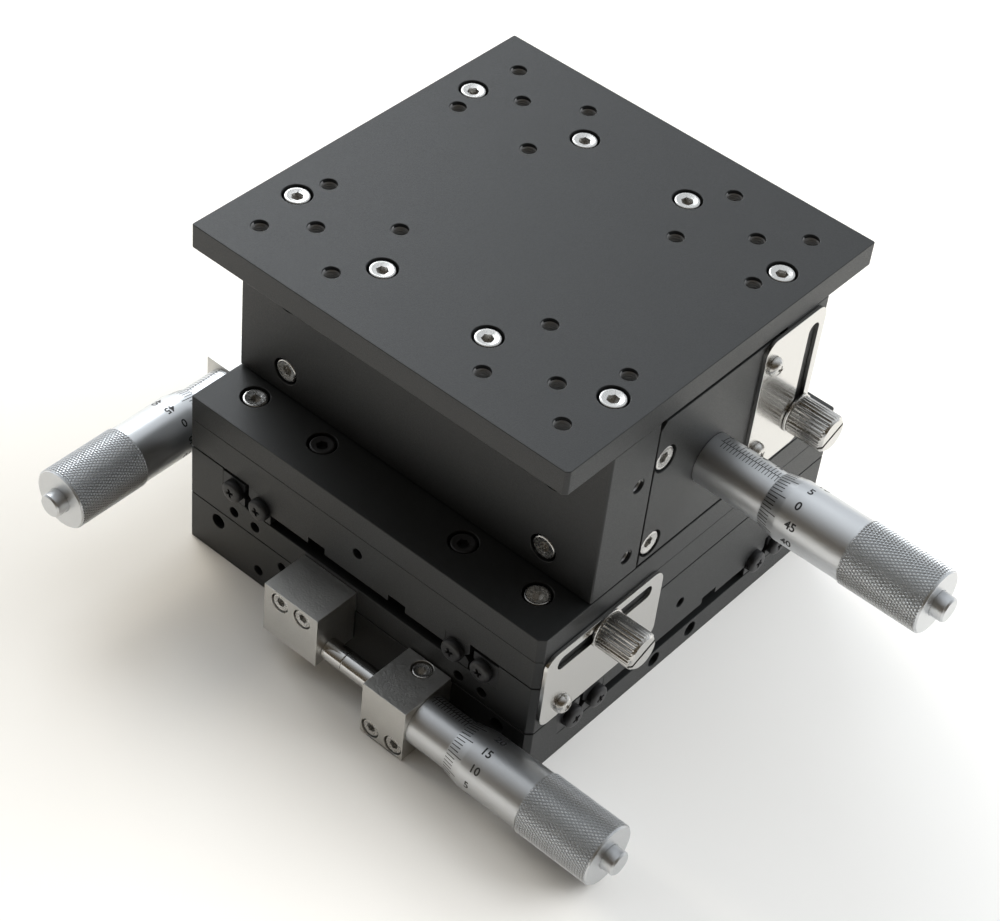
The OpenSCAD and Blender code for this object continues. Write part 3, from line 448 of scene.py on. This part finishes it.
def numeral(work, text, height, x, r, angle, place, align):
    """Engraved figures on a turned surface at a station and an angle, read along the axis. They are cut into
    eight bands to a height, so that they bend with the surface."""
    capital_share, weight_share, bands = 0.69, 0.035, 8
    curve = bpy.data.curves.new("numeral", "FONT")
    curve.body = text
    curve.size = height / capital_share
    curve.align_x = align
    curve.align_y = "CENTER"
    curve.offset = height * weight_share
    card = bpy.data.objects.new("numeral", curve)
    scene.collection.objects.link(card)
    flat = bpy.data.meshes.new_from_object(card.evaluated_get(bpy.context.evaluated_depsgraph_get()))
    bpy.data.objects.remove(card)
    letters = bmesh.new()
    letters.from_mesh(flat)
    for k in range(-bands // 2 - 1, bands // 2 + 2):
        bmesh.ops.bisect_plane(letters, geom=letters.verts[:] + letters.edges[:] + letters.faces[:],
                               plane_co=(0, k * height / bands, 0), plane_no=(0, 1, 0))
    twins = {v: work.verts.new(place @ wrapped(x + v.co.x, r, angle - math.degrees(v.co.y / r)))
             for v in letters.verts}
    for f in letters.faces:
        work.faces.new([twins[v] for v in f.verts])
    letters.free()


def round_by(length, r):
    """How many degrees a length takes up round a radius."""
    return math.degrees(length / r)


scale_r, datum_end, datum_start, millimetres = 7.315, 37.5, 0.6, 25
datum_half, mark_half, long_mark, short_mark = 0.11, 0.1, 2.8, 2.0
figure_height, figure_off = 1.7, 4.2
for axis, (body, place, edge, zero, datum, dial_zero) in heads.items():
    break_edges(axis + "_barrel", satin, body, width=0.15)
    marks = bmesh.new()
    half = round_by(datum_half, scale_r)
    stroke(marks, zero - datum_start, datum_end, scale_r, scale_r, datum - half, datum + half, place)
    for k in range(millimetres + 1):
        at, figured = zero + k, k % 5 == 0
        above = datum - round_by(long_mark if figured else short_mark, scale_r)
        below = datum + round_by(short_mark, scale_r)
        stroke(marks, at - mark_half, at + mark_half, scale_r, scale_r, datum, above, place)
        if k < millimetres:
            stroke(marks, at + 0.5 - mark_half, at + 0.5 + mark_half, scale_r, scale_r, datum, below, place)
        if figured:
            numeral(marks, str(k), figure_height, at, scale_r, datum - round_by(figure_off, scale_r), place,
                    "CENTER")
    shown(axis + "_sleeve_scale", mesh_of(marks, axis + "_sleeve_scale"), ink, body)


# Spindles and anvil tips: hardened steel, ground bright and lapped on the faces where they touch. A spindle
# comes out of its holder's stem, and a tip is pressed into its anvil block.
polished = grained(metal("bright_steel", (0.66, 0.66, 0.65)), size=1500, depth=0.001, rough=(0.12, 0.22))
for node, body in (("x_spindle", "x_feed"), ("y_spindle", "y_feed"), ("z_spindle", "z_feed"),
                   ("x_anvil_tip", "x_carriage"), ("y_anvil_tip", "y_carriage")):
    break_edges(node, polished, body, width=0.25)


# Thimbles: satin-chromed too, with a graduated bevel of fifty divisions, figures every five of them, a plain
# barrel, a grip rolled with a fine diamond pattern, a flat end and a small speeder boss on it.
def knurl(work, x0, x1, r, groove_r, around, flat):
    """Diamond knurling round the local X axis: pyramids with small flats, their corners in the grooves, which
    cross at 30 degrees to the axis. A half row closes each end."""
    pitch = 2 * math.pi * r / around / math.tan(math.radians(30))
    rows = 2 * round((x1 - x0) / pitch)
    step = (x1 - x0) / rows
    low = [[work.verts.new(wrapped(x0 + j * step, groove_r, 360 / around * (i + (j % 2) / 2)))
            for i in range(around)] for j in range(rows + 1)]
    for j in range(1, rows):
        for i in range(around):
            centre, tip = (i, i) if j % 2 else (i - 0.5, i - 1)
            corners = (low[j][i - 1], low[j - 1][tip], low[j][i], low[j + 1][tip])
            spots = ((0, -0.5 * flat), (-step * flat, 0), (0, 0.5 * flat), (step * flat, 0))
            crown = [work.verts.new(wrapped(x0 + j * step + dx, r, 360 / around * (centre + da)))
                     for dx, da in spots]
            work.faces.new(crown)
            for k in range(4):
                work.faces.new((corners[k], corners[(k + 1) % 4], crown[(k + 1) % 4], crown[k]))
    for j, x, out in ((0, x0, 1), (rows, x1, -1)):
        for i in range(around):
            west, east, tip = low[j][i], low[j][(i + 1) % around], low[j + out][i]
            crown = [work.verts.new(wrapped(x + dx * out, r, 360 / around * (i + 0.5 + da)))
                     for dx, da in ((0, -0.5 * flat), (step * flat, 0), (0, 0.5 * flat))]
            for corners in ((west, crown[0], crown[1], tip), (east, crown[2], crown[1], tip),
                            (west, crown[0], crown[2], east), crown):
                work.faces.new(corners)


bore_r, lip_r, bevel_r, barrel_r, neck_r = 7.4, 7.65, 8.68, 8.7, 8.6
grip_r, groove_r, end_r, boss_r, spindle_hole_r = 9.05, 8.75, 8.55, 3.5, 3.3
bevel_from, bevel_to, grip_from, grip_to, bore_end, end, boss_end = 0.12, 5.3, 25.5, 48.5, 45.0, 49.0, 52.8
diamonds, divisions = 60, 50
thimble = bmesh.new()
knurl(thimble, grip_from, grip_to, grip_r, groove_r, diamonds, flat=0.42)
turned = Matrix.Rotation(math.pi / 2, 4, "Y")
front_outline = [(bore_r, 0.15), (bore_r + 0.15, 0), (lip_r, bevel_from), (bevel_r, bevel_to),
                 (barrel_r, bevel_to + 0.2), (barrel_r, grip_from - 0.3), (neck_r, grip_from - 0.2),
                 (neck_r, grip_from), (groove_r, grip_from)]
end_outline = [(groove_r, grip_to), (end_r, end), (boss_r + 0.25, end), (boss_r + 0.1, end - 0.2),
               (boss_r, end - 0.2), (boss_r, boss_end - 0.5), (boss_r - 0.4, boss_end), (0, boss_end)]
bore = [(bore_r, bore_end), (bore_r, 0.15)]
bore_floor = [(spindle_hole_r, bore_end), (bore_r, bore_end)]
for profile in (front_outline, end_outline, bore, bore_floor):
    lathe(thimble, profile, diamonds, turned)
bmesh.ops.remove_doubles(thimble, verts=thimble.verts, dist=same_point / 2)
bmesh.ops.recalc_face_normals(thimble, faces=thimble.faces)
thimble_mesh = sharp_over(mesh_of(thimble, "thimble"), 25)
proud = 0.012


def mark_r(x):
    """The radius of a mark at a station on the thimble's bevel."""
    return lip_r + (bevel_r - lip_r) * (x - bevel_from) / (bevel_to - bevel_from) + proud


mark_from, mark_half, long_mark, short_mark = 0.2, 0.13, 5.1, 3.3
figure_height, figure_from = 2.2, 8.2
for axis, (body, place, edge, zero, datum, dial_zero) in heads.items():
    at_edge = place @ Matrix.Translation(Vector((edge, 0, 0)) * mm)
    mesh = thimble_mesh.copy()
    mesh.transform(at_edge)
    shown(axis + "_thimble_knurled", mesh, satin, axis + "_dial", axis + "_thimble")
    marks = bmesh.new()
    for k in range(divisions):
        angle = dial_zero - 360 / divisions * k
        figured = k % 5 == 0
        mark_to = long_mark if figured else short_mark
        half = round_by(mark_half, mark_r(mark_to))
        stroke(marks, mark_from, mark_to, mark_r(mark_from), mark_r(mark_to), angle - half, angle + half,
               at_edge)
        if figured:
            numeral(marks, str(k), figure_height, figure_from, barrel_r + proud, angle, at_edge, "LEFT")
    shown(axis + "_thimble_scale", mesh_of(marks, axis + "_thimble_scale"), ink, axis + "_dial")


# Lift: front and rear plates and two cheeks make a fixed core on the base, inside which a steel wedge
# slides under a ramp when the third micrometer pushes it. Both of these are ground bright.
ground_faces = grained(metal("ground_faces", (0.50, 0.50, 0.51)), size=1800, depth=0.01, rough=(0.24, 0.36))
break_edges("front_plate", anodised, "y_carriage", splits=((1, 0.43), (2, 0.57)))
for node in ("rear_plate", "core_cheeks"):
    break_edges(node, anodised, "y_carriage")
for node in ("wedge", "lift_ramp"):
    finish_solid(node, ground_faces)


# Table and its two side walls: the table has a grid of threaded holes, whose threads are cut through the
# anodising and show brighter flanks.
break_edges("front_wall", anodised, "z_carriage")
break_edges("back_wall", anodised, "z_carriage")
break_edges("table", anodised, "z_carriage", width=0.25)
cut_thread = grained(metal("cut_thread", (0.34, 0.34, 0.34), metallic=0.7), size=2600, depth=0.02,
                     rough=(0.3, 0.45))


def thread(work, place, radius, deep):
    """A helical ridge inside a hole whose mouth is at the place, local Z looking out of it. Its foot goes a
    little into the metal, and its first turn starts a little below the mouth."""
    steps, pitch, into, tall, below = 28, 0.8, 0.01, 0.26, 0.35
    count = int(deep / pitch * steps)

    def point(r, k, drop):
        turn = 2 * math.pi * k / steps
        z = -below - pitch * k / steps - drop
        return place @ (Vector((r * math.cos(turn), r * math.sin(turn), z)) * mm)

    root = [work.verts.new(point(radius - into, k, 0)) for k in range(count + steps + 1)]
    crest = [work.verts.new(point(radius - tall, k, pitch / 2)) for k in range(count + 1)]
    for k in range(count):
        for quad in ((root[k], root[k + 1], crest[k + 1], crest[k]),
                     (crest[k], crest[k + 1], root[k + steps + 1], root[k + steps])):
            work.faces.new(quad).smooth = True


def threads(name, places, radius, deep):
    """The threads of like holes in the moving table or its wall, as one piece."""
    work = bmesh.new()
    for where in places:
        thread(work, where, radius, deep)
    shown(name, sharp_over(mesh_of(work, name), 40), cut_thread, "z_carriage")


table_top, pitch, inner = 111.6, 25, 40
rows = (-2 * pitch, -pitch, pitch, 2 * pitch)
grid = [(x, y) for x in rows for y in rows] + [(x, y) for x in (-inner, inner) for y in (-inner, inner)]
threads("table_threads", [facing(x, y, table_top, (0, 0, 1)) for x, y in grid], radius=2.25, deep=5.9)
wall_end, wall_middle, lower_hole = 62, -31, 61.4
pair = [facing(wall_end, wall_middle, z, (1, 0, 0)) for z in (lower_hole, lower_hole + pitch)]
threads("wall_threads", pair, radius=2.1, deep=3.4)


# Lock plates: stainless sheet, brushed along its length, with a long slot for the lock's thumbscrew. Two
# round-headed bright screws fasten each to the member that stands still.
sheet = metal("stainless_plate", (0.62, 0.61, 0.59))
tree = sheet.node_tree
brushed, given, result = shader_group("brushed lines", {"Line size": 900.0, "Stretch": 40.0}, ["Lines"])
where = brushed.nodes.new("ShaderNodeTexCoord")
drawn = brushed.nodes.new("ShaderNodeVectorMath")
drawn.operation = "DIVIDE"
thin = brushed.nodes.new("ShaderNodeCombineXYZ")
thin.inputs["X"].default_value = 1
thin.inputs["Z"].default_value = 1
join(brushed, given, "Stretch", thin, "Y")
join(brushed, where, "Object", drawn, 0)
join(brushed, thin, "Vector", drawn, 1)
lines = brushed.nodes.new("ShaderNodeTexNoise")
lines.inputs["Detail"].default_value = 2
join(brushed, drawn, "Vector", lines, "Vector")
join(brushed, given, "Line size", lines, "Scale")
join(brushed, lines, "Fac", result, "Lines")
strokes = tree.nodes.new("ShaderNodeGroup")
strokes.node_tree = brushed
spread = tree.nodes.new("ShaderNodeMapRange")
spread.inputs["To Min"].default_value = 0.12
spread.inputs["To Max"].default_value = 0.26
join(tree, strokes, "Lines", spread, "Value")
join(tree, spread, "Result", tree.nodes["Principled BSDF"], "Roughness")
for axis, body in (("x", "base"), ("y", "x_carriage"), ("z", "y_carriage")):
    break_edges(axis + "_lock_plate", sheet, body, width=0.12)
for axis, body in (("x", "base"), ("y", "x_carriage"), ("z", "y_carriage")):
    crossed_screws(axis + "_lock_screws", axis + "_lock_crossed", plated, body, "bright_screws", turn=30,
                   more=40, diameter=5.6, height=2.4, band=0.12, bend=0.8, cross=2.6)


# Thumbscrews: turned from bright steel, with a collar that bears on the lock plate, straight ridges to grip
# and a chamfered end with a driver slot.
turned_steel = grained(metal("thumbscrew_steel", (0.60, 0.59, 0.57)), size=1800, depth=0.001,
                       rough=(0.18, 0.28))


def ridged(outline, ridges):
    """An object turned round local Z from (height, radius, dip), ready to be cut: the dip is how far the
    grooves between its ridges go in."""
    corners, sharpness = 8, 2.5
    count = ridges * corners
    work = bmesh.new()
    rings = []
    for h, r, dip in outline:
        spokes = [r - dip * abs(math.cos(math.pi * i / corners)) ** sharpness for i in range(count)]
        rings.append([work.verts.new(Vector((spokes[i] * math.cos(2 * math.pi * i / count),
                                             spokes[i] * math.sin(2 * math.pi * i / count), h)) * mm)
                      for i in range(count)])
    for low, high in zip(rings, rings[1:]):
        for i in range(count):
            work.faces.new((low[i], low[(i + 1) % count], high[(i + 1) % count], high[i])).smooth = True
    work.faces.new(rings[0][::-1])
    work.faces.new(rings[-1])
    return blank(work)


knob = ridged([(-9, 1.7, 0), (-8.7, 2.0, 0), (1.3, 2.0, 0), (1.3, 5.6, 0), (1.45, 5.8, 0), (1.95, 5.8, 0),
               (2.1, 5.6, 0), (2.1, 5.05, 0), (2.4, 5.45, 0.32), (2.6, 5.5, 0.36), (12.5, 5.5, 0.36),
               (12.75, 5.4, 0.3), (13.0, 5.05, 0), (13.15, 5.0, 0), (13.6, 4.55, 0)], ridges=30)
slot_floor, slot_over, slot_reach, slot_half = 12.4, 14.5, 7, 0.5
driver_slot = [(x * slot_reach, y * slot_half, z) for z in (slot_floor, slot_over)
               for x, y in ((-1, -1), (1, -1), (1, 1), (-1, 1))]
knob = cut_with(knob, [(driver_slot, prism_faces(4))], sharp=35)
# For each lock: the middle of its plate's slot, the ways along the slot, across it and out of the plate, how
# far along the slot the thumbscrew stands, and its turn.
for axis, middle, along, across, outward, shift, turn in (
        ("x", (0, 62, 21.1), (-1, 0, 0), (0, 0, 1), (0, 1, 0), 0, 22),
        ("y", (62, -36.8, 40.7), (0, 1, 0), (0, 0, 1), (1, 0, 0), 0, 22),
        ("z", (62, 37.4, 80.0), (0, 0, -1), (0, 1, 0), (1, 0, 0), 12, 112)):
    lock = Matrix.Translation(Vector(middle) * mm) @ Matrix((along, across, outward)).transposed().to_4x4()
    mesh = knob.copy()
    mesh.transform(lock @ Matrix.Translation(Vector((shift, 0, 0)) * mm) @
                   Matrix.Rotation(math.radians(turn), 4, "Z"))
    shown(axis + "_thumbscrew_ridged", mesh, turned_steel, axis + "_lock_knob",
          axis + "_thumbscrew")


# Floor, light and camera: a pale matt floor in a room with soft daylight from behind and a warm wall on the
# left. Only the left window is mirrored in the metal, and the rest of the room is brighter to the back. The
# camera's place and angles were fitted to the edges of the plates.
reach = 3
floor = bpy.data.objects.new("floor", bpy.data.meshes.new("floor"))
floor.data.from_pydata([(-reach, -reach, 0), (reach, -reach, 0), (reach, reach, 0), (-reach, reach, 0)],
                       [], [(0, 1, 2, 3)])
floor.data.materials.append(metal("pale_floor", (0.92, 0.905, 0.875), metallic=0.0, roughness=0.8))
scene.collection.objects.link(floor)


def lamp(name, place, aim, size, watts, colour, mirrored=False):
    """A rectangular light at a place, looking at another, in metres."""
    light = bpy.data.lights.new(name, "AREA")
    light.shape = "RECTANGLE"
    light.size, light.size_y = size
    light.energy = watts
    light.color = colour
    made = bpy.data.objects.new(name, light)
    made.location = place
    made.rotation_mode = "QUATERNION"
    made.rotation_quaternion = (Vector(aim) - Vector(place)).to_track_quat("-Z", "Y")
    made.visible_glossy = mirrored
    scene.collection.objects.link(made)


lamp("left_window", (-2.0, 0.95, 1.5), (-0.2, 0, 0.05), (1.6, 1.2), 30, (0.93, 0.97, 1.0), mirrored=True)
lamp("left_wall", (-2.2, 0.3, 0.9), (-0.2, 0, 0), (1.6, 1.0), 44, (1.0, 0.89, 0.72))
lamp("right_window", (1.5, 1.8, 1.1), (0, 0.1, 0.05), (2.6, 1.8), 92, (0.96, 0.98, 1.0))
world = bpy.data.worlds.new("room")
world.use_nodes = True
tree = world.node_tree
way = tree.nodes.new("ShaderNodeTexCoord")
aim = tree.nodes.new("ShaderNodeVectorMath")
aim.operation = "DOT_PRODUCT"
aim.inputs[1].default_value = (-0.50, 0.80, 0.32)
join(tree, way, "Generated", aim, 0)
fade = tree.nodes.new("ShaderNodeMapRange")
fade.interpolation_type = "SMOOTHSTEP"
for socket, value in (("From Min", -0.45), ("From Max", 0.75), ("To Min", 0.0), ("To Max", 1.0)):
    fade.inputs[socket].default_value = value
join(tree, aim, "Value", fade, "Value")
tone = tree.nodes.new("ShaderNodeMix")
tone.data_type = "RGBA"
tone.inputs["A"].default_value = (0.085, 0.066, 0.042, 1)
tone.inputs["B"].default_value = (0.86, 0.90, 0.94, 1)
join(tree, fade, "Result", tone, "Factor")
join(tree, tone, "Result", tree.nodes["Background"], "Color")
scene.world = world
scene.view_settings.view_transform = "Standard"

camera = bpy.data.objects.new("camera", bpy.data.cameras.new("camera"))
scene.collection.objects.link(camera)
azimuth, elevation, roll = (math.radians(a) for a in (36.354, 43.771, 6.949))
back = Vector((math.sin(azimuth) * math.cos(elevation), -math.cos(azimuth) * math.cos(elevation),
               math.sin(elevation)))
level = Vector((0, 0, 1)).cross(back).normalized()
above = back.cross(level)
right = math.cos(roll) * level + math.sin(roll) * above
up = math.cos(roll) * above - math.sin(roll) * level
camera.matrix_world = Matrix.Translation(Vector((292.73, -402.46, 507.06)) * mm) @ Matrix(
    (right, up, back)).transposed().to_4x4()
camera.data.lens = 89.55
camera.data.sensor_width = 36
camera.data.clip_start = 0.01
scene.camera = camera
